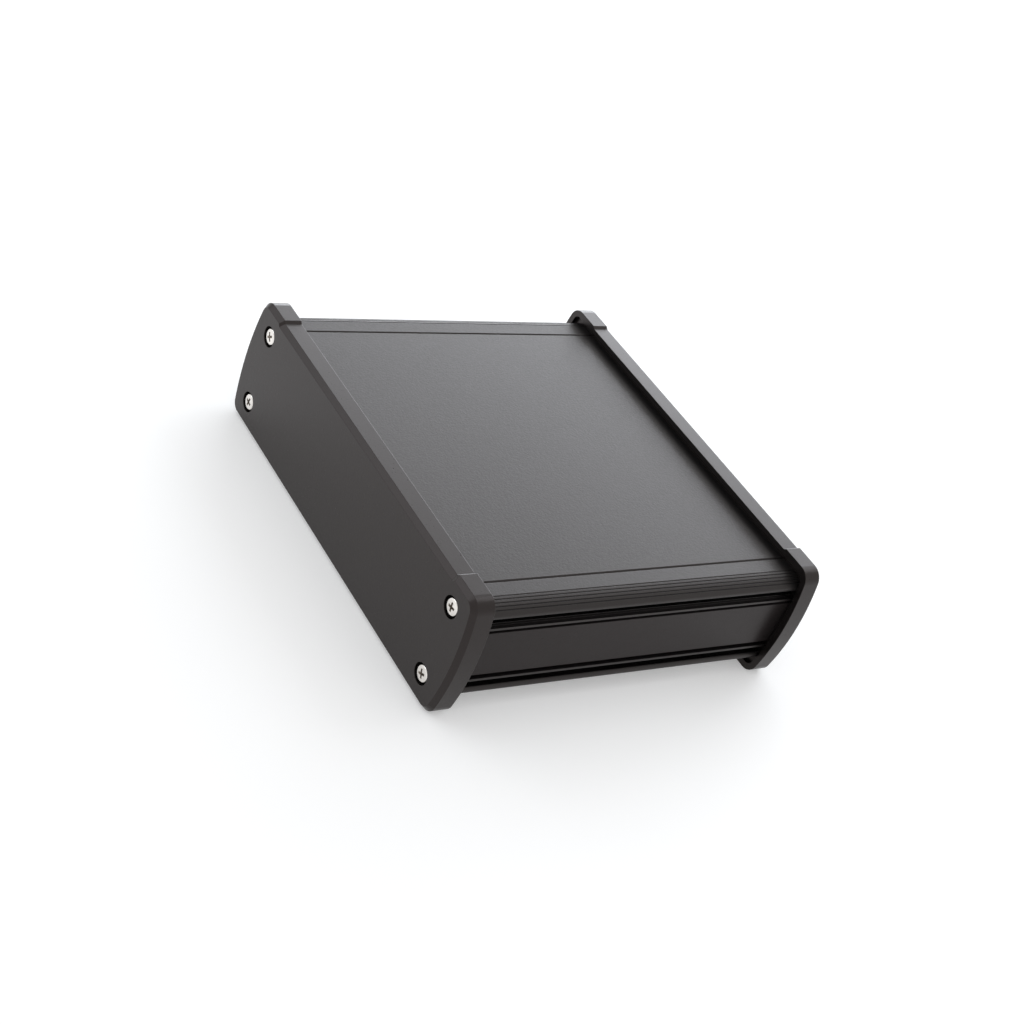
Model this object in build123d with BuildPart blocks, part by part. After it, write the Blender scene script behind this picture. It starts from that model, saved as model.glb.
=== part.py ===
from build123d import *
import os
from math import acos, degrees, sqrt

# Aluminium instrument case. Two extruded covers and two side panels run from left to right between two
# end caps, and eight screws hold the caps to the covers.
# X runs along the extrusions, the front is at -Y, and the case stands on z = 0. Millimetres.

# Overall size, measured over the end caps
case_width = 140.0
cap_depth = 158.0
cap_height = 45.4

# End cap: a plate with bowed front and rear edges, a chamfered rim and a pocket for the extrusions' ends
cap_thickness = 7.8
cap_side_radius = 93.0
cap_corner_radius = 5.0
cap_chamfer = 1.6
cap_rim = 2.3
pocket_depth = 1.5

# Relief: the middle of the cap's top edge lies lower than its two ends
relief_end_inset = 15.5
relief_depth = 0.8
relief_ramp = 0.95

# Pan-head screw and its seat in the cap
head_diameter = 5.8
head_height = 2.5
head_edge = 0.5
shank_diameter = 2.9
shank_length = 12.0
shank_tip_chamfer = 0.5
cross_span = 3.3
cross_width = 0.9
cross_depth = 1.3
cross_taper = 10.0
counterbore_diameter = 7.2
counterbore_depth = 2.6
clearance_diameter = 3.4

# Cover: flat top with rounded front and rear edges that end in a thick, rounded lip
cover_edge_inset = 3.95
cover_top_inset = 4.05
cover_wall = 2.0
cover_edge_radius = 7.75
lip_drop = 4.75
lip_rounding = 1.2

# Dark groove below the lip, and the thin rib that stands out under it
groove_opening = 3.05
groove_depth = 3.1
rib_height = 0.85
rib_reach = 1.45

# Slot for the side panel, behind the rib
slot_depth = 1.2
slot_wall = 0.6
inner_wall = 1.1

# Screw channel along the inside of the cover, open along one side
channel_edge_inset = 7.9
channel_top_inset = 5.1
channel_diameter = 6.0
channel_bore = 3.0
channel_opening = 1.5

# Rails beside the screw channel that hold the edge of a circuit board
board_slot_width = 1.9
rail_thickness = 1.0
rail_reach = 2.0
rail_root = 1.0

# Fine grooves in the cover: one line along the flat top and a row around the rounded edge
line_groove_inset = 11.75
line_groove_width = 0.95
line_groove_depth = 0.5
edge_groove_count = 5
edge_groove_start = 4.5
edge_groove_step = 8.7
edge_groove_width = 0.45
edge_groove_depth = 0.25

# Side panel: a thick plate almost level with the rib, its two edges stepped down to a tongue
panel_thickness = 3.6
panel_setback = 0.35
tongue_thickness = 1.6
tongue_gap = 1.45
panel_clearance = 0.1
panel_top_gap = 0.3
panel_end_gap = 0.1

# Values worked out from the sizes above
centre_height = cap_height / 2
body_end = case_width / 2 - cap_thickness + pocket_depth
body_length = 2 * body_end
relief_end = cap_depth / 2 - relief_end_inset
cover_edge = cap_depth / 2 - cover_edge_inset
cover_top = cap_height / 2 - cover_top_inset
cover_underside = cover_top - cover_wall
channel_y = cover_edge - channel_edge_inset
channel_z = cover_top - channel_top_inset
channel_radius = channel_diameter / 2

# Centre of the rounded edge, placed so that the rounded lip reaches the full depth of the cover
lip_z = cover_top - lip_drop
edge_centre_z = cover_top - cover_edge_radius
lip_centre_rise = lip_z + lip_rounding - edge_centre_z
edge_centre_y = cover_edge - lip_rounding - sqrt(
    (cover_edge_radius - lip_rounding) ** 2 - lip_centre_rise**2
)
lip_angle = degrees(acos((lip_z - edge_centre_z) / cover_edge_radius))

# Rib, slot and side panel
rib_top = lip_z - groove_opening
mouth_z = rib_top - rib_height
slot_end = mouth_z + slot_depth
panel_outer = cover_edge - panel_setback
panel_inner = panel_outer - panel_thickness
panel_face_z = mouth_z - tongue_gap
tongue_top = slot_end - panel_top_gap
tongue_outer = panel_inner + tongue_thickness
slot_outer = tongue_outer + panel_clearance
slot_inner = panel_inner - panel_clearance

# Sections lie in planes across the extrusions, with their zero at the middle of the case
body_section = Plane(origin=(-body_end, 0, centre_height), x_dir=(0, 1, 0), z_dir=(1, 0, 0))
panel_section = body_section.offset(panel_end_gap)
left_face = Plane(origin=(-case_width / 2, 0, centre_height), x_dir=(0, -1, 0), z_dir=(-1, 0, 0))
right_face = Plane(origin=(case_width / 2, 0, centre_height), x_dir=(0, 1, 0), z_dir=(1, 0, 0))
middle = Plane.XY.offset(centre_height)

os.makedirs("parts", exist_ok=True)


# Top cover: half of the section is drawn and mirrored
with BuildPart() as top_cover:
    with BuildSketch(body_section) as cover_profile:
        with BuildLine():
            Line((0, cover_top), (edge_centre_y, cover_top))
            lip_arc = CenterArc((edge_centre_y, edge_centre_z), cover_edge_radius, 90, -lip_angle)
            Polyline(
                lip_arc @ 1,
                (cover_edge - groove_depth, lip_z),
                (cover_edge - groove_depth, slot_end + slot_wall),
                (cover_edge - rib_reach, slot_end + slot_wall),
                (cover_edge - rib_reach, rib_top),
                (cover_edge, rib_top),
                (cover_edge, mouth_z),
                (slot_outer, mouth_z),
                (slot_outer, slot_end),
                (slot_inner, slot_end),
                (slot_inner, mouth_z),
                (slot_inner - inner_wall, mouth_z),
                (slot_inner - inner_wall, cover_underside),
                (0, cover_underside),
                (0, cover_top),
            )
        make_face()
        fillet(cover_profile.vertices().sort_by_distance(lip_arc @ 1)[0], lip_rounding)
        # Screw channel, filled up to the underside of the top wall
        with Locations((channel_y, channel_z)):
            Circle(channel_radius)
            Rectangle(
                slot_inner - channel_y,
                cover_underside - channel_z,
                align=(Align.MIN, Align.MIN),
            )
            Rectangle(
                channel_radius,
                cover_underside - channel_z,
                align=(Align.MAX, Align.MIN),
            )
        # Rails for a circuit board
        for side in (-1, 1):
            rail_z = channel_z + side * (board_slot_width + rail_thickness) / 2
            with Locations((channel_y - channel_radius - rail_reach, rail_z)):
                Rectangle(rail_reach + rail_root, rail_thickness, align=(Align.MIN, Align.CENTER))
        # Bore of the screw channel and its open side
        with Locations((channel_y, channel_z)):
            Circle(channel_bore / 2, mode=Mode.SUBTRACT)
            Rectangle(
                channel_opening,
                channel_diameter,
                align=(Align.CENTER, Align.MAX),
                mode=Mode.SUBTRACT,
            )
        # Line groove along the flat top
        with Locations((cover_edge - line_groove_inset, cover_top)):
            Polygon(
                (-line_groove_width / 2, 0),
                (0, -line_groove_depth),
                (line_groove_width / 2, 0),
                align=None,
                mode=Mode.SUBTRACT,
            )
        # Fine grooves around the rounded edge
        for number in range(edge_groove_count):
            turn = edge_groove_start + number * edge_groove_step
            with Locations(Location((edge_centre_y, edge_centre_z), -turn)):
                Polygon(
                    (-edge_groove_width / 2, cover_edge_radius),
                    (0, cover_edge_radius - edge_groove_depth),
                    (edge_groove_width / 2, cover_edge_radius),
                    align=None,
                    mode=Mode.SUBTRACT,
                )
        mirror(about=Plane.YZ)
    extrude(amount=body_length)
top_cover.part.label = "top_cover"
export_step(top_cover.part, "parts/top_cover.step")

# Bottom cover, the same extrusion turned over
with BuildPart() as bottom_cover:
    mirror(top_cover.part, about=middle)
bottom_cover.part.label = "bottom_cover"
export_step(bottom_cover.part, "parts/bottom_cover.step")

# Front panel, its lower tongue standing in the lower slot and the upper one reaching into the upper slot
with BuildPart() as front_panel:
    with BuildSketch(panel_section):
        Polygon(
            (-panel_inner, -slot_end),
            (-panel_inner, tongue_top),
            (-tongue_outer, tongue_top),
            (-tongue_outer, panel_face_z),
            (-panel_outer, panel_face_z),
            (-panel_outer, -panel_face_z),
            (-tongue_outer, -panel_face_z),
            (-tongue_outer, -slot_end),
            align=None,
        )
    extrude(amount=body_length - 2 * panel_end_gap)
front_panel.part.label = "front_panel"
export_step(front_panel.part, "parts/front_panel.step")

# Rear panel, the same plate on the other side
with BuildPart() as rear_panel:
    mirror(front_panel.part, about=Plane.XZ)
rear_panel.part.label = "rear_panel"
export_step(rear_panel.part, "parts/rear_panel.step")


def draw_cap_outline(inset):
    """Lines of the cap's outline, moved inwards by an inset: straight top and bottom, bowed ends"""
    half_height = cap_height / 2 - inset
    half_depth = cap_depth / 2 - inset
    bow_radius = cap_side_radius - inset
    corner_y = half_depth - bow_radius + sqrt(bow_radius**2 - half_height**2)
    Line((-corner_y, -half_height), (corner_y, -half_height))
    ThreePointArc((corner_y, -half_height), (half_depth, 0), (corner_y, half_height))
    Line((corner_y, half_height), (-corner_y, half_height))
    ThreePointArc((-corner_y, half_height), (-half_depth, 0), (-corner_y, -half_height))


# Left end cap
with BuildPart() as left_end_cap:
    with BuildSketch(left_face) as cap_outline:
        with BuildLine():
            draw_cap_outline(0)
        make_face()
        fillet(cap_outline.vertices(), cap_corner_radius)
        # Lowered middle of the top edge, with a ramp at each end
        with Locations((0, cap_height / 2)):
            Polygon(
                (-relief_end, 0),
                (-relief_end + relief_ramp, -relief_depth),
                (relief_end - relief_ramp, -relief_depth),
                (relief_end, 0),
                align=None,
                mode=Mode.SUBTRACT,
            )
    extrude(amount=-cap_thickness)
    chamfer(left_end_cap.faces().sort_by(Axis.X)[0].edges(), cap_chamfer)
    # Pocket on the inner side for the ends of the extrusions
    with BuildSketch(left_face.offset(-cap_thickness)) as pocket_outline:
        with BuildLine():
            draw_cap_outline(cap_rim)
        make_face()
        fillet(pocket_outline.vertices(), cap_corner_radius - cap_rim)
    extrude(amount=pocket_depth, mode=Mode.SUBTRACT)
    with Locations(left_face):
        with GridLocations(2 * channel_y, 2 * channel_z, 2, 2):
            CounterBoreHole(clearance_diameter / 2, counterbore_diameter / 2, counterbore_depth)
left_end_cap.part.label = "left_end_cap"
export_step(left_end_cap.part, "parts/left_end_cap.step")

# Right end cap, mirrored
with BuildPart() as right_end_cap:
    mirror(left_end_cap.part, about=Plane.YZ)
right_end_cap.part.label = "right_end_cap"
export_step(right_end_cap.part, "parts/right_end_cap.step")


def export_screw(seat, name):
    """Pan-head screw with a cross recess, its head standing outwards on the seat plane"""
    axis = Axis(seat.origin, seat.z_dir)
    with BuildPart() as screw:
        with BuildSketch(seat):
            Circle(head_diameter / 2)
        extrude(amount=head_height)
        chamfer(screw.edges().group_by(axis)[-1], head_edge)
        with BuildSketch(seat.offset(head_height)):
            Rectangle(cross_span, cross_width)
            Rectangle(cross_width, cross_span)
        extrude(amount=-cross_depth, taper=cross_taper, mode=Mode.SUBTRACT)
        with BuildSketch(seat):
            Circle(shank_diameter / 2)
        extrude(amount=-shank_length)
        chamfer(screw.edges().group_by(axis)[0], shank_tip_chamfer)
    screw.part.label = name
    export_step(screw.part, f"parts/{name}.step")


# Eight screws, four in each cap
for cap_side, face in (("left", left_face), ("right", right_face)):
    for depth_side, seat_y in (("front", -channel_y), ("rear", channel_y)):
        for height_side, seat_z in (("lower", -channel_z), ("upper", channel_z)):
            seat_origin = face.offset(-counterbore_depth).origin + Vector(0, seat_y, seat_z)
            seat_plane = Plane(origin=seat_origin, x_dir=face.x_dir, z_dir=face.z_dir)
            export_screw(seat_plane, f"{cap_side}_{depth_side}_{height_side}_screw")
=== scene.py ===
import math

import bmesh
import bpy
from mathutils import Matrix, Vector


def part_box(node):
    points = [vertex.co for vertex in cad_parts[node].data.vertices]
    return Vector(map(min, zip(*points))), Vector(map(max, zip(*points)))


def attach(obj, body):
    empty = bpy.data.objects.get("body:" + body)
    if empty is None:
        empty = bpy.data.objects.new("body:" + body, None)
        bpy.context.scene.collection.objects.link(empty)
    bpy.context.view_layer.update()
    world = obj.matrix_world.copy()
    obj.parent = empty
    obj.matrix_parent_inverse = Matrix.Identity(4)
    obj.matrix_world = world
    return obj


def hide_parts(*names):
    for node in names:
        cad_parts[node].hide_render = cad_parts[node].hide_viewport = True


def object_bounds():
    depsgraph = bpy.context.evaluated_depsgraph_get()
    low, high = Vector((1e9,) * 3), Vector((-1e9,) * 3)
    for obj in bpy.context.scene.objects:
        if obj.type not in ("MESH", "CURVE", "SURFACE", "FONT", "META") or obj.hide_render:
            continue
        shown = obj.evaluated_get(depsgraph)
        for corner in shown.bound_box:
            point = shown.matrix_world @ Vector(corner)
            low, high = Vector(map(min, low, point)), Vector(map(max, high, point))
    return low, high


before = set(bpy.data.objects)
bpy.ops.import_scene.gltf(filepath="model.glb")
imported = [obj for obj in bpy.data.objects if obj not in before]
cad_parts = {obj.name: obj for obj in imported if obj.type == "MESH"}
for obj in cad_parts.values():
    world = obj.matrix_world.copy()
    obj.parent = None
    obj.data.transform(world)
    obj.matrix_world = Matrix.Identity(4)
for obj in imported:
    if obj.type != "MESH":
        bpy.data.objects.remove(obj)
cad_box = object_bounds()

MM = 0.001
BODY = "root"
MIDDLE_Z = (cad_box[0][2] + cad_box[1][2]) / 2

# Pan-head screws: four to a cap, each head sunk into its counterbore
HEAD_HEIGHT = 2.5 * MM
SCREW_SIZES = {
    "Head Diameter": 5.8 * MM,
    "Head Height": HEAD_HEIGHT,
    "Head Crown": 0.22 * MM,
    "Head Rounding": 0.62 * MM,
    "Turning Ring": 0.5 * MM,
    "Cross Span": 3.3 * MM,
    "Cross Width": 0.85 * MM,
    "Cross Depth": 1.3 * MM,
    "Cross Taper": 0.35,
    "Shank Diameter": 2.9 * MM,
    "Shank Length": 12.3 * MM,
    "Shank Root": 0.3 * MM,
    "Thread Pitch": 0.5 * MM,
    "Thread Depth": 0.5 * MM,
}
# How far each screw's cross is turned, in degrees
CROSS_TURNS = {
    "left_front_lower_screw": 24.0,
    "left_front_upper_screw": 8.0,
    "left_rear_lower_screw": -12.0,
    "left_rear_upper_screw": 35.0,
    "right_front_lower_screw": 15.0,
    "right_front_upper_screw": -20.0,
    "right_rear_lower_screw": 40.0,
    "right_rear_upper_screw": 5.0,
}
# How finely a screw is divided, and the angle in degrees past which an edge of it stays sharp
HEAD_SIDES = 48
RIM_STEPS = 7
SHANK_SIDES = 24
SHANK_RINGS = 72
WELD_DISTANCE = 0.001 * MM
SHARP_ANGLE = 35.0
# Darker colour in the cross: how far it reaches from the axis, as a share of the span, and its lowest level
RECESS_REACH = 0.6
RECESS_FLOOR = 0.1 * MM

# Anodised surface: slow drift and fine speckle of the dye, and how high each kind of bump stands
DRIFT_SIZE_MM = 18.0
DRIFT_AMOUNT = 0.25
SPECKLE_AMOUNT = 0.18
SPECKLE_IN_GLOSS = 0.3
# How sharply the arris mask rises; the arris is painted paler, partly wear and partly a painted highlight
ARRIS_SHARPNESS = 5.0
MOTTLE_RISE = 0.04 * MM
GRAIN_RISE = 0.02 * MM
LINE_RISE = 0.01 * MM
LINE_PITCH_MM = 0.3
LINE_LENGTH_MM = 70.0

# Nickel plating and the darker colour in the cross
NICKEL = (0.82, 0.785, 0.745)
NICKEL_ROUGHNESS = (0.20, 0.30)
NICKEL_BUMP = 0.15
NICKEL_RISE = 0.01 * MM
RECESS_TONE = (0.40, 0.36, 0.32)
RECESS_ROUGHNESS = 0.5

# Studio: the tent as it lights and as it is seen, the floor, and the softboxes around the case
WHITE = (1.0, 1.0, 1.0, 1.0)
TENT_LIGHT = 0.75
TENT_LOOK = 0.90
FLOOR_HALF_WIDTH = 6.0
FLOOR_DROP = 0.02 * MM
FLOOR_ALBEDO = 0.80
FLOOR_LIFT = 0.30
SOFTBOX_DISTANCE = 1.3
DAYLIGHT = (0.89, 0.94, 1.0)
SKYLIGHT = (0.84, 0.93, 1.0)
# Azimuth from +X towards +Y and elevation in degrees, width and height in metres, watts, colour
SOFTBOXES = {
    "back_softbox": (42, 15.5, (1.36, 0.50), 11.0, DAYLIGHT),
    "upper_softbox": (40, 36, (1.10, 0.40), 0.8, DAYLIGHT),
    "side_softbox": (142, 37, (0.90, 0.50), 2.0, SKYLIGHT),
    "high_softbox": (5, 51, (0.60, 0.45), 1.7, DAYLIGHT),
}

# Camera: lens, principal point, place and turn were measured from the photograph, in its pixels
PHOTO_PIXELS = 1024
FOCAL_PIXELS = 1737.92
PRINCIPAL_POINT = (445.735, 607.444)
SENSOR_MM = 36.0
CAMERA_PLACE = (-0.349755, -0.361047, 0.334758)
CAMERA_TURN = (
    (0.82971, 0.07557, -0.55305),
    (-0.45108, 0.67438, -0.58458),
    (0.32879, 0.73451, 0.59363),
)

FLOAT = "NodeSocketFloat"
VECTOR = "NodeSocketVector"


# Node helpers


def new_material(name):
    material = bpy.data.materials.new(name)
    material.use_nodes = True
    tree = material.node_tree
    return material, tree, tree.nodes["Principled BSDF"]


def add_node(tree, kind, inputs=None, **settings):
    """Node with its settings and its inputs, where an input is a socket to link or a plain value"""
    node = tree.nodes.new(kind)
    for key, value in settings.items():
        setattr(node, key, value)
    for key, value in (inputs or {}).items():
        if isinstance(value, bpy.types.NodeSocket):
            tree.links.new(value, node.inputs[key])
        else:
            node.inputs[key].default_value = value
    return node


def do_math(tree, operation, *values):
    return add_node(tree, "ShaderNodeMath", dict(enumerate(values)), operation=operation).outputs[0]


def do_vector_math(tree, operation, *values):
    """Vector math with a vector as its result"""
    return add_node(tree, "ShaderNodeVectorMath", dict(enumerate(values)), operation=operation).outputs[0]


def make_vector(tree, x=0.0, y=0.0, z=0.0):
    return add_node(tree, "ShaderNodeCombineXYZ", {"X": x, "Y": y, "Z": z}).outputs[0]


def split_vector(tree, vector):
    """Sockets of the vector's numbers, by axis"""
    return add_node(tree, "ShaderNodeSeparateXYZ", {0: vector}).outputs


def object_place(tree):
    return add_node(tree, "ShaderNodeTexCoord").outputs["Object"]


def in_mm(tree, vector):
    return add_node(tree, "ShaderNodeVectorMath", {0: vector, "Scale": 1 / MM}, operation="SCALE").outputs[0]


def map_range(tree, value, **limits):
    """Map Range, with the limits that differ from 0 and 1 given as from_min, from_max, to_min or to_max"""
    inputs = {label.replace("_", " ").title(): limit for label, limit in limits.items()}
    return add_node(tree, "ShaderNodeMapRange", {"Value": value, **inputs}).outputs["Result"]


def mix(tree, kind, factor, first, second, **settings):
    inputs = {"Factor": factor, "A": first, "B": second}
    return add_node(tree, "ShaderNodeMix", inputs, data_type=kind, **settings).outputs["Result"]


def add_bump(tree, height, normal, strength, rise):
    inputs = {"Height": height, "Normal": normal, "Strength": strength, "Distance": rise}
    return add_node(tree, "ShaderNodeBump", inputs).outputs["Normal"]


def start_group(name, inputs, outputs):
    """Shader node group with inputs given as (name, kind, default) and outputs as (name, kind)"""
    group = bpy.data.node_groups.new(name, "ShaderNodeTree")
    for label, kind, value in inputs:
        socket = group.interface.new_socket(label, in_out="INPUT", socket_type=kind)
        socket.default_value = value
    for label, kind in outputs:
        group.interface.new_socket(label, in_out="OUTPUT", socket_type=kind)
    given = add_node(group, "NodeGroupInput").outputs
    result = add_node(group, "NodeGroupOutput").inputs
    return group, given, result


def use_group(tree, group, **values):
    """Outputs of a group placed in a material, its inputs given by their names with _ for a space"""
    inputs = {label.replace("_", " "): value for label, value in values.items()}
    return add_node(tree, "ShaderNodeGroup", inputs, node_tree=group).outputs


# Effects that the finishes share


def make_blast_grain():
    """Matt grain of blasted and anodised metal: a height for the bump, a fine speckle, a coarser mottle
    and a slow drift of tone"""
    group, given, result = start_group(
        "blast_grain",
        [
            ("Grain Size mm", FLOAT, 0.35),
            ("Mottle Size mm", FLOAT, 0.8),
            ("Drift Size mm", FLOAT, 14.0),
            ("Drift", FLOAT, 0.15),
        ],
        [("Height", FLOAT), ("Speckle", FLOAT), ("Mottle", FLOAT), ("Tone", FLOAT)],
    )
    links = group.links
    place = in_mm(group, object_place(group))

    def add_noise(size_label, detail, roughness):
        scale = do_math(group, "DIVIDE", 1.0, given[size_label])
        inputs = {"Vector": place, "Scale": scale, "Detail": detail, "Roughness": roughness}
        return add_node(group, "ShaderNodeTexNoise", inputs).outputs["Fac"]

    grain = add_noise("Grain Size mm", 2.0, 0.6)
    links.new(grain, result["Height"])
    links.new(map_range(group, grain, from_min=0.35, from_max=0.65), result["Speckle"])
    mottle = add_noise("Mottle Size mm", 2.0, 0.7)
    links.new(map_range(group, mottle, from_min=0.3, from_max=0.7), result["Mottle"])
    drift = do_math(group, "SUBTRACT", add_noise("Drift Size mm", 3.0, 0.55), 0.5)
    links.new(do_math(group, "MULTIPLY_ADD", drift, given["Drift"], 1.0), result["Tone"])
    return group


def make_draw_lines():
    """Very fine lines that an extrusion die leaves along X"""
    group, given, result = start_group(
        "draw_lines",
        [("Line Pitch mm", FLOAT, 0.25), ("Length mm", FLOAT, 60.0)],
        [("Height", FLOAT)],
    )
    place = split_vector(group, object_place(group))
    along = do_math(group, "DIVIDE", 1 / MM, given["Length mm"])
    across = do_math(group, "DIVIDE", 1 / MM, given["Line Pitch mm"])
    stretched = make_vector(
        group,
        do_math(group, "MULTIPLY", place["X"], along),
        do_math(group, "MULTIPLY", place["Y"], across),
        do_math(group, "MULTIPLY", place["Z"], across),
    )
    inputs = {"Vector": stretched, "Scale": 1.0, "Detail": 2.0, "Roughness": 0.5}
    lines = add_node(group, "ShaderNodeTexNoise", inputs)
    group.links.new(lines.outputs["Fac"], result["Height"])
    return group


def make_rounded_edge():
    """Normal that rounds the sharp edges a little, and a mask of the arris where it does, for wear and a
    painted highlight
    """
    group, given, result = start_group(
        "rounded_edge",
        [("Radius mm", FLOAT, 0.25), ("Sharpness", FLOAT, 6.0)],
        [("Normal", VECTOR), ("Edge", FLOAT)],
    )
    radius = do_math(group, "MULTIPLY", given["Radius mm"], MM)
    rounded = add_node(group, "ShaderNodeBevel", {"Radius": radius}, samples=6).outputs["Normal"]
    group.links.new(rounded, result["Normal"])
    flat = add_node(group, "ShaderNodeNewGeometry").outputs["Normal"]
    facing = add_node(group, "ShaderNodeVectorMath", {0: rounded, 1: flat}, operation="DOT_PRODUCT")
    turned = do_math(group, "SUBTRACT", 1.0, facing.outputs["Value"])
    # Arris mask: partly wear, partly a painted highlight along the edges
    wear_and_highlight_mask = do_math(group, "MULTIPLY", turned, given["Sharpness"])
    wear_and_highlight_mask.node.use_clamp = True
    group.links.new(wear_and_highlight_mask, result["Edge"])
    return group


def make_deep_groove():
    """Mask of the walls of the deep groove below each cover's lip, which blasting doesn't reach.
    Its limits are counted from the middle of the case"""
    group, given, result = start_group(
        "deep_groove",
        [("Reach mm", FLOAT, 74.9), ("Low mm", FLOAT, 10.9), ("High mm", FLOAT, 13.95)],
        [("Mask", FLOAT)],
    )
    from_middle = do_vector_math(group, "SUBTRACT", object_place(group), (0.0, 0.0, MIDDLE_Z))
    place = split_vector(group, in_mm(group, do_vector_math(group, "ABSOLUTE", from_middle)))
    inward = do_math(group, "LESS_THAN", place["Y"], given["Reach mm"])
    above = do_math(group, "GREATER_THAN", place["Z"], given["Low mm"])
    below = do_math(group, "LESS_THAN", place["Z"], given["High mm"])
    mask = do_math(group, "MULTIPLY", inward, do_math(group, "MULTIPLY", above, below))
    group.links.new(mask, result["Mask"])
    return group


blast_grain = make_blast_grain()
draw_lines = make_draw_lines()
rounded_edge = make_rounded_edge()
deep_groove = make_deep_groove()


# Finishes


def anodised_black(
    name,
    tone,
    wear_and_highlight_tone,
    roughness,
    specular,
    tint,
    grain_mm,
    grain_bump,
    mottle_bump,
    line_bump=0.0,
    groove_roughness=None,
    gloss_spread=0.06,
    edge_mm=0.15,
):
    """Satin black anodised aluminium: dyed layer over a blasted or drawn surface, paler on its arrises from
    wear and a painted highlight
    """
    material, tree, shader = new_material(name)
    grain = use_group(
        tree, blast_grain, Grain_Size_mm=grain_mm, Drift_Size_mm=DRIFT_SIZE_MM, Drift=DRIFT_AMOUNT
    )
    edge = use_group(tree, rounded_edge, Radius_mm=edge_mm, Sharpness=ARRIS_SHARPNESS)

    # Dye: a slow drift in depth and a fine speckle where the grain catches light
    speckle = map_range(tree, grain["Speckle"], to_min=1 - SPECKLE_AMOUNT, to_max=1 + SPECKLE_AMOUNT)
    depth = do_math(tree, "MULTIPLY", grain["Tone"], speckle)
    dye = mix(tree, "RGBA", 1.0, (*tone, 1.0), depth, blend_type="MULTIPLY")
    # Arrises painted paler: partly wear, partly a painted highlight
    arris = mix(tree, "RGBA", edge["Edge"], dye, (*wear_and_highlight_tone, 1.0))
    tree.links.new(arris, shader.inputs["Base Color"])

    # Gloss follows the mottle, and less the fine grain
    uneven = mix(tree, "FLOAT", SPECKLE_IN_GLOSS, grain["Mottle"], grain["Speckle"])
    matt = map_range(tree, uneven, to_min=roughness - gloss_spread, to_max=roughness + gloss_spread)
    if groove_roughness is not None:
        matt = mix(tree, "FLOAT", use_group(tree, deep_groove)["Mask"], matt, groove_roughness)
    tree.links.new(matt, shader.inputs["Roughness"])

    # Bump: mottle and grain first, drawn lines on top where the piece is extruded
    normal = add_bump(tree, grain["Mottle"], edge["Normal"], mottle_bump, MOTTLE_RISE)
    normal = add_bump(tree, grain["Height"], normal, grain_bump, GRAIN_RISE)
    if line_bump > 0:
        lines = use_group(tree, draw_lines, Line_Pitch_mm=LINE_PITCH_MM, Length_mm=LINE_LENGTH_MM)
        normal = add_bump(tree, lines["Height"], normal, line_bump, LINE_RISE)
    tree.links.new(normal, shader.inputs["Normal"])
    shader.inputs["Metallic"].default_value = 0.0
    shader.inputs["Specular IOR Level"].default_value = specular
    shader.inputs["Specular Tint"].default_value = (*tint, 1.0)
    return material


def plated_screw(name):
    """Bright nickel plating, a little uneven, darker and rougher in the cross recess"""
    material, tree, shader = new_material(name)
    grain = use_group(tree, blast_grain, Grain_Size_mm=0.15, Drift_Size_mm=1.6, Drift=0.3)
    edge = use_group(tree, rounded_edge, Radius_mm=0.12, Sharpness=4.0)
    # Faces in the cross recess get a darker colour and more roughness
    recess_mark = add_node(tree, "ShaderNodeAttribute", attribute_name="recess").outputs["Fac"]
    plating = mix(tree, "RGBA", 1.0, (*NICKEL, 1.0), grain["Tone"], blend_type="MULTIPLY")
    tree.links.new(mix(tree, "RGBA", recess_mark, plating, (*RECESS_TONE, 1.0)), shader.inputs["Base Color"])
    smooth, rough = NICKEL_ROUGHNESS
    gloss = map_range(tree, grain["Speckle"], to_min=smooth, to_max=rough)
    tree.links.new(mix(tree, "FLOAT", recess_mark, gloss, RECESS_ROUGHNESS), shader.inputs["Roughness"])
    normal = add_bump(tree, grain["Height"], edge["Normal"], NICKEL_BUMP, NICKEL_RISE)
    tree.links.new(normal, shader.inputs["Normal"])
    shader.inputs["Metallic"].default_value = 1.0
    return material


cover_finish = anodised_black(
    "cover_black_anodised",
    tone=(0.0044, 0.0040, 0.0040),
    wear_and_highlight_tone=(0.02, 0.02, 0.02),
    roughness=0.42,
    specular=0.48,
    tint=(1.0, 0.90, 0.87),
    grain_mm=0.30,
    grain_bump=0.5,
    mottle_bump=0.45,
    line_bump=0.15,
    groove_roughness=0.15,
)
panel_finish = anodised_black(
    "panel_black_anodised",
    tone=(0.0190, 0.0160, 0.0158),
    wear_and_highlight_tone=(0.03, 0.028, 0.027),
    roughness=0.30,
    specular=0.18,
    tint=(1.0, 0.86, 0.84),
    grain_mm=0.25,
    grain_bump=0.12,
    mottle_bump=0.2,
    line_bump=0.1,
    gloss_spread=0.03,
)
cap_finish = anodised_black(
    "cap_black_anodised",
    tone=(0.0048, 0.0042, 0.0041),
    wear_and_highlight_tone=(0.02, 0.019, 0.018),
    roughness=0.30,
    specular=0.42,
    tint=(1.0, 0.86, 0.83),
    grain_mm=0.32,
    grain_bump=0.1,
    mottle_bump=0.15,
    gloss_spread=0.03,
    edge_mm=0.22,
)
screw_finish = plated_screw("screw_nickel_plated")


def give_finish(node_name, material):
    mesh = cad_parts[node_name].data
    mesh.materials.clear()
    mesh.materials.append(material)
    for polygon in mesh.polygons:
        polygon.material_index = 0


for finish, node_names in (
    (cover_finish, ("top_cover", "bottom_cover")),
    (panel_finish, ("front_panel", "rear_panel")),
    (cap_finish, ("left_end_cap", "right_end_cap")),
):
    for node_name in node_names:
        give_finish(node_name, finish)


# Screws, one mesh of eight, made by Geometry Nodes on points taken from the screw parts of model.glb


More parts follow.
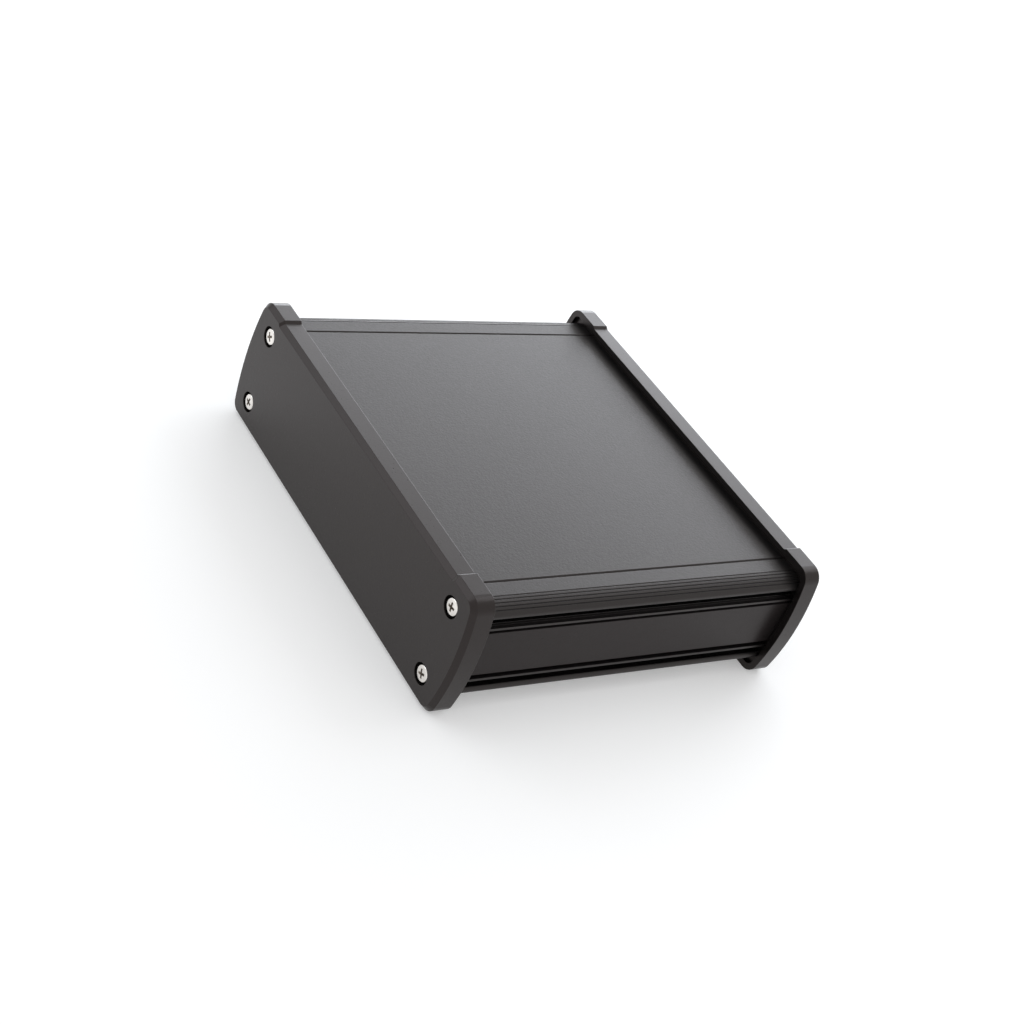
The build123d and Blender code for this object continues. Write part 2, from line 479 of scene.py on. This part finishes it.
def place_screw_points(nodes):
    """Points on the screws' seats, each with its outward direction and the turn of its cross"""
    mesh = bpy.data.meshes.new("screw_seats")
    seats, outwards = [], []
    for node in nodes:
        low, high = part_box(node)
        side = -1.0 if low[0] + high[0] < 0 else 1.0
        head_top = low[0] if side < 0 else high[0]
        seats.append((head_top - side * HEAD_HEIGHT, (low[1] + high[1]) / 2, (low[2] + high[2]) / 2))
        outwards.append((side, 0.0, 0.0))
    mesh.from_pydata(seats, [], [])
    outward = mesh.attributes.new("outward", "FLOAT_VECTOR", "POINT")
    outward.data.foreach_set("vector", [number for vector in outwards for number in vector])
    turn = mesh.attributes.new("cross_turn", "FLOAT", "POINT")
    turn.data.foreach_set("value", [math.radians(CROSS_TURNS[node]) for node in nodes])
    seats_object = bpy.data.objects.new("cap_screws", mesh)
    bpy.context.scene.collection.objects.link(seats_object)
    return seats_object


def point_place(tree):
    """Place of each point, split by axis"""
    return split_vector(tree, add_node(tree, "GeometryNodeInputPosition").outputs["Position"])


def draw_in(tree, mesh, place, share, rise):
    """Moves each point to a share of its distance from the axis, and then up"""
    x, y = (do_math(tree, "MULTIPLY", place[axis], share) for axis in "XY")
    moved = do_vector_math(tree, "ADD", make_vector(tree, x, y, place["Z"]), make_vector(tree, z=rise))
    inputs = {"Geometry": mesh, "Position": moved}
    return add_node(tree, "GeometryNodeSetPosition", inputs).outputs["Geometry"]


def turn_head(tree, size):
    """Pan head: its half outline turned round the axis, flat below, crowned above, with a rounded rim"""
    radius = do_math(tree, "DIVIDE", size["Head Diameter"], 2.0)
    # The outline hangs on a small ring: the axis lies one ring radius inside it, and down on it is up here
    crown = do_math(tree, "MULTIPLY", size["Head Height"], -1.0)
    rim = do_math(tree, "ADD", crown, size["Head Crown"])
    inside = do_math(tree, "MULTIPLY", size["Turning Ring"], -1.0)
    outside = do_math(tree, "SUBTRACT", radius, size["Turning Ring"])
    corners = {
        "Point 1": make_vector(tree, inside, 0.0),
        "Point 2": make_vector(tree, outside, 0.0),
        "Point 3": make_vector(tree, outside, rim),
        "Point 4": make_vector(tree, inside, crown),
    }
    outline = add_node(tree, "GeometryNodeCurvePrimitiveQuadrilateral", corners, mode="POINTS")
    inputs = {"Geometry": outline.outputs["Curve"], "Cyclic": False}
    opened = add_node(tree, "GeometryNodeSetSplineCyclic", inputs)
    # Only the third corner, the rim, is rounded
    number = add_node(tree, "GeometryNodeInputIndex").outputs["Index"]
    is_rim = add_node(tree, "FunctionNodeCompare", {"A": number, "B": 2}, data_type="INT", operation="EQUAL")
    rounding = do_math(tree, "MULTIPLY", is_rim.outputs["Result"], size["Head Rounding"])
    inputs = {"Curve": opened.outputs["Geometry"], "Count": RIM_STEPS, "Radius": rounding}
    rounded = add_node(tree, "GeometryNodeFilletCurve", inputs, mode="POLY")
    inputs = {"Resolution": HEAD_SIDES, "Radius": size["Turning Ring"]}
    ring = add_node(tree, "GeometryNodeCurvePrimitiveCircle", inputs, mode="RADIUS")
    inputs = {"Curve": ring.outputs["Curve"], "Profile Curve": rounded.outputs["Curve"]}
    turned = add_node(tree, "GeometryNodeCurveToMesh", inputs)
    inputs = {"Geometry": turned.outputs["Mesh"], "Distance": WELD_DISTANCE}
    return add_node(tree, "GeometryNodeMergeByDistance", inputs).outputs["Geometry"]


def cut_cross(tree, size, head):
    """Cross recess: two tapered bars are taken out of the head"""
    cut = add_node(tree, "GeometryNodeMeshBoolean", {"Mesh 1": head}, operation="DIFFERENCE", solver="EXACT")
    tall = do_math(tree, "MULTIPLY", size["Cross Depth"], 2.0)
    span, width = size["Cross Span"], size["Cross Width"]
    for along_x, along_y in ((span, width), (width, span)):
        inputs = {"Size": make_vector(tree, along_x, along_y, tall)}
        bar = add_node(tree, "GeometryNodeMeshCube", inputs).outputs["Mesh"]
        # The bar narrows towards its lower end
        place = point_place(tree)
        depth = do_math(tree, "DIVIDE", place["Z"], size["Cross Depth"])
        share = do_math(tree, "MULTIPLY_ADD", depth, size["Cross Taper"], 1.0)
        tree.links.new(draw_in(tree, bar, place, share, size["Head Height"]), cut.inputs["Mesh 2"])
    return cut.outputs["Mesh"]


def mark_recess(tree, size, head):
    """Stores 1 on the faces inside the cross recess, where the colour is darker"""
    place = point_place(tree)
    across = make_vector(tree, place["X"], place["Y"])
    from_axis = add_node(tree, "ShaderNodeVectorMath", {0: across}, operation="LENGTH").outputs["Value"]
    near = do_math(tree, "LESS_THAN", from_axis, do_math(tree, "MULTIPLY", size["Cross Span"], RECESS_REACH))
    brink = do_math(tree, "SUBTRACT", size["Head Height"], size["Head Crown"])
    sunk = do_math(tree, "LESS_THAN", place["Z"], brink)
    above_seat = do_math(tree, "GREATER_THAN", place["Z"], RECESS_FLOOR)
    inside = do_math(tree, "MULTIPLY", do_math(tree, "MULTIPLY", near, sunk), above_seat)
    inputs = {"Geometry": head, "Name": "recess", "Value": inside}
    marked = add_node(tree, "GeometryNodeStoreNamedAttribute", inputs, data_type="FLOAT", domain="FACE")
    return marked.outputs["Geometry"]


def roll_shank(tree, size):
    """Shank with a rolled thread: a fine cylinder whose radius follows a helix"""
    outer = do_math(tree, "DIVIDE", size["Shank Diameter"], 2.0)
    inputs = {
        "Vertices": SHANK_SIDES,
        "Side Segments": SHANK_RINGS,
        "Fill Segments": 1,
        "Radius": outer,
        "Depth": size["Shank Length"],
    }
    rod = add_node(tree, "GeometryNodeMeshCylinder", inputs).outputs["Mesh"]
    place = point_place(tree)
    bearing = do_math(tree, "ARCTAN2", place["Y"], place["X"])
    turns = do_math(tree, "DIVIDE", bearing, math.tau)
    rise = do_math(tree, "DIVIDE", place["Z"], size["Thread Pitch"])
    valley = do_math(tree, "PINGPONG", do_math(tree, "SUBTRACT", rise, turns), 0.5)
    dip = do_math(tree, "MULTIPLY", valley, size["Thread Depth"])
    share = do_math(tree, "DIVIDE", do_math(tree, "SUBTRACT", outer, dip), outer)
    # The shank's upper end stands a little inside the head
    half_length = do_math(tree, "DIVIDE", size["Shank Length"], 2.0)
    return draw_in(tree, rod, place, share, do_math(tree, "SUBTRACT", size["Shank Root"], half_length))


def make_screw_tree(sizes, material):
    """Node tree that sets one screw on each point, turned to its outward direction"""
    tree = bpy.data.node_groups.new("cap_screws", "GeometryNodeTree")
    tree.interface.new_socket("Seats", in_out="INPUT", socket_type="NodeSocketGeometry")
    identifiers = {}
    for label in sizes:
        socket = tree.interface.new_socket(label, in_out="INPUT", socket_type=FLOAT)
        identifiers[label] = socket.identifier
    tree.interface.new_socket("Screws", in_out="OUTPUT", socket_type="NodeSocketGeometry")
    given = add_node(tree, "NodeGroupInput").outputs
    size = {label: given[label] for label in sizes}

    screw = add_node(tree, "GeometryNodeJoinGeometry")
    head = cut_cross(tree, size, turn_head(tree, size))
    tree.links.new(mark_recess(tree, size, head), screw.inputs["Geometry"])
    tree.links.new(roll_shank(tree, size), screw.inputs["Geometry"])

    outward = add_node(tree, "GeometryNodeInputNamedAttribute", {"Name": "outward"}, data_type="FLOAT_VECTOR")
    turn = add_node(tree, "GeometryNodeInputNamedAttribute", {"Name": "cross_turn"}, data_type="FLOAT")
    inputs = {"Vector": outward.outputs["Attribute"]}
    aligned = add_node(tree, "FunctionNodeAlignRotationToVector", inputs, axis="Z")
    inputs = {"Axis": (0.0, 0.0, 1.0), "Angle": turn.outputs["Attribute"]}
    spin = add_node(tree, "FunctionNodeAxisAngleToRotation", inputs)
    inputs = {"Rotation": aligned.outputs["Rotation"], "Rotate By": spin.outputs["Rotation"]}
    turned = add_node(tree, "FunctionNodeRotateRotation", inputs, rotation_space="LOCAL")
    inputs = {
        "Points": given["Seats"],
        "Instance": screw.outputs["Geometry"],
        "Rotation": turned.outputs["Rotation"],
    }
    placed = add_node(tree, "GeometryNodeInstanceOnPoints", inputs)
    real = add_node(tree, "GeometryNodeRealizeInstances", {"Geometry": placed.outputs["Instances"]})
    inputs = {"Geometry": real.outputs["Geometry"], "Material": material}
    coated = add_node(tree, "GeometryNodeSetMaterial", inputs)
    add_node(tree, "NodeGroupOutput", {"Screws": coated.outputs["Geometry"]})
    return tree, identifiers


def make_screws(nodes, material):
    piece = place_screw_points(nodes)
    tree, identifiers = make_screw_tree(SCREW_SIZES, material)
    modifier = piece.modifiers.new("screws", "NODES")
    modifier.node_group = tree
    for label, value in SCREW_SIZES.items():
        modifier[identifiers[label]] = value
    evaluated = piece.evaluated_get(bpy.context.evaluated_depsgraph_get())
    mesh = bpy.data.meshes.new_from_object(evaluated)
    piece.modifiers.remove(modifier)
    piece.data = mesh
    mesh.name = "cap_screws"
    mesh.materials.clear()
    mesh.materials.append(material)
    mesh.polygons.foreach_set("material_index", [0] * len(mesh.polygons))
    mesh.polygons.foreach_set("use_smooth", [True] * len(mesh.polygons))
    mesh.set_sharp_from_angle(angle=math.radians(SHARP_ANGLE))
    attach(piece, BODY)
    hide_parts(*nodes)


make_screws(list(CROSS_TURNS), screw_finish)


# Floor, light and camera


def seen_directly(tree):
    """1 for rays from the camera and for those that a gloss or a glass sends on"""
    ray = add_node(tree, "ShaderNodeLightPath").outputs
    sent_on = do_math(tree, "MAXIMUM", ray["Is Glossy Ray"], ray["Is Transmission Ray"])
    return do_math(tree, "MAXIMUM", ray["Is Camera Ray"], sent_on)


def make_floor():
    """Matt white floor that looks a little lighter than it lights the case, and keeps its shadow"""
    mesh = bpy.data.meshes.new("floor")
    build = bmesh.new()
    bmesh.ops.create_grid(build, x_segments=1, y_segments=1, size=FLOOR_HALF_WIDTH)
    build.to_mesh(mesh)
    build.free()
    floor = bpy.data.objects.new("floor", mesh)
    floor.location.z = -FLOOR_DROP
    bpy.context.scene.collection.objects.link(floor)
    material, tree, shader = new_material("floor_white")
    shader.inputs["Base Color"].default_value = (FLOOR_ALBEDO, FLOOR_ALBEDO, FLOOR_ALBEDO, 1.0)
    shader.inputs["Roughness"].default_value = 0.9
    shader.inputs["Specular IOR Level"].default_value = 0.1
    shader.inputs["Emission Color"].default_value = WHITE
    lift = do_math(tree, "MULTIPLY", seen_directly(tree), FLOOR_LIFT)
    tree.links.new(lift, shader.inputs["Emission Strength"])
    mesh.materials.append(material)


def make_world():
    """Pale light tent, which looks a little lighter than it lights the case"""
    world = bpy.data.worlds.new("studio")
    bpy.context.scene.world = world
    world.use_nodes = True
    tree = world.node_tree
    background = tree.nodes["Background"].inputs
    background["Color"].default_value = WHITE
    strength = do_math(tree, "MULTIPLY_ADD", seen_directly(tree), TENT_LOOK - TENT_LIGHT, TENT_LIGHT)
    tree.links.new(strength, background["Strength"])


def add_softbox(name, azimuth, elevation, size, watts, colour):
    """Softbox that faces the case"""
    lamp = bpy.data.lights.new(name, "AREA")
    lamp.shape = "RECTANGLE"
    lamp.size, lamp.size_y = size
    lamp.energy = watts
    lamp.color = colour
    turn, rise = math.radians(azimuth), math.radians(elevation)
    direction = Vector((math.cos(turn) * math.cos(rise), math.sin(turn) * math.cos(rise), math.sin(rise)))
    holder = bpy.data.objects.new(name, lamp)
    holder.location = direction * SOFTBOX_DISTANCE
    holder.rotation_euler = (-direction).to_track_quat("-Z", "Y").to_euler()
    bpy.context.scene.collection.objects.link(holder)


def make_camera():
    """The photograph's own view"""
    data = bpy.data.cameras.new("photo_camera")
    data.sensor_width = SENSOR_MM
    data.lens = FOCAL_PIXELS / PHOTO_PIXELS * SENSOR_MM
    data.shift_x = (PHOTO_PIXELS / 2 - PRINCIPAL_POINT[0]) / PHOTO_PIXELS
    data.shift_y = (PRINCIPAL_POINT[1] - PHOTO_PIXELS / 2) / PHOTO_PIXELS
    data.clip_start = 0.01
    camera = bpy.data.objects.new("photo_camera", data)
    camera.matrix_world = Matrix.Translation(CAMERA_PLACE) @ Matrix(CAMERA_TURN).to_4x4()
    bpy.context.scene.collection.objects.link(camera)
    bpy.context.scene.camera = camera


make_floor()
make_world()
for softbox, facts in SOFTBOXES.items():
    add_softbox(softbox, *facts)
make_camera()

bpy.context.scene.view_settings.view_transform = "Standard"

bpy.context.view_layer.update()
